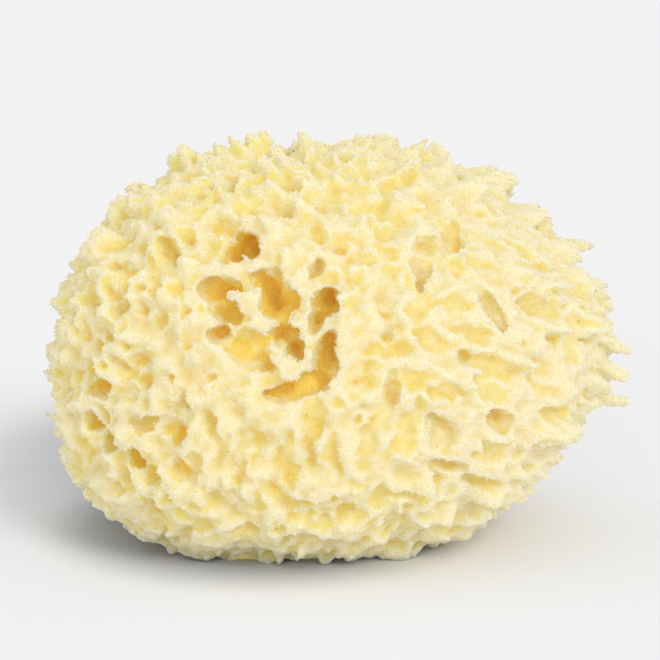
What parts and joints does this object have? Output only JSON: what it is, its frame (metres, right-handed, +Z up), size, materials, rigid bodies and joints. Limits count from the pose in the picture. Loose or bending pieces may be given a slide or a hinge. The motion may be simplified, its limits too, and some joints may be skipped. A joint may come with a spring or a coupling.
{
  "type": "sea sponge",
  "caption": "Dried natural sea sponge of the honeycomb kind: a rounded, pale yellow body covered in pointed tufts, with a cluster of large pores in front and a flat cut underneath.",
  "frame": {"origin": "centre of the bounding box at the flat cut underside", "axes": "+Z up, +X along the longest side, -Y towards the face with the cluster of large pores"},
  "size_m": [0.13, 0.106, 0.09],
  "materials": {
    "sponge": "matte, dry, porous sponge fibre, golden inside the pores"
  },
  "bodies": {
    "root": {"sponge": "sponge"}
  },
  "joints": []
}
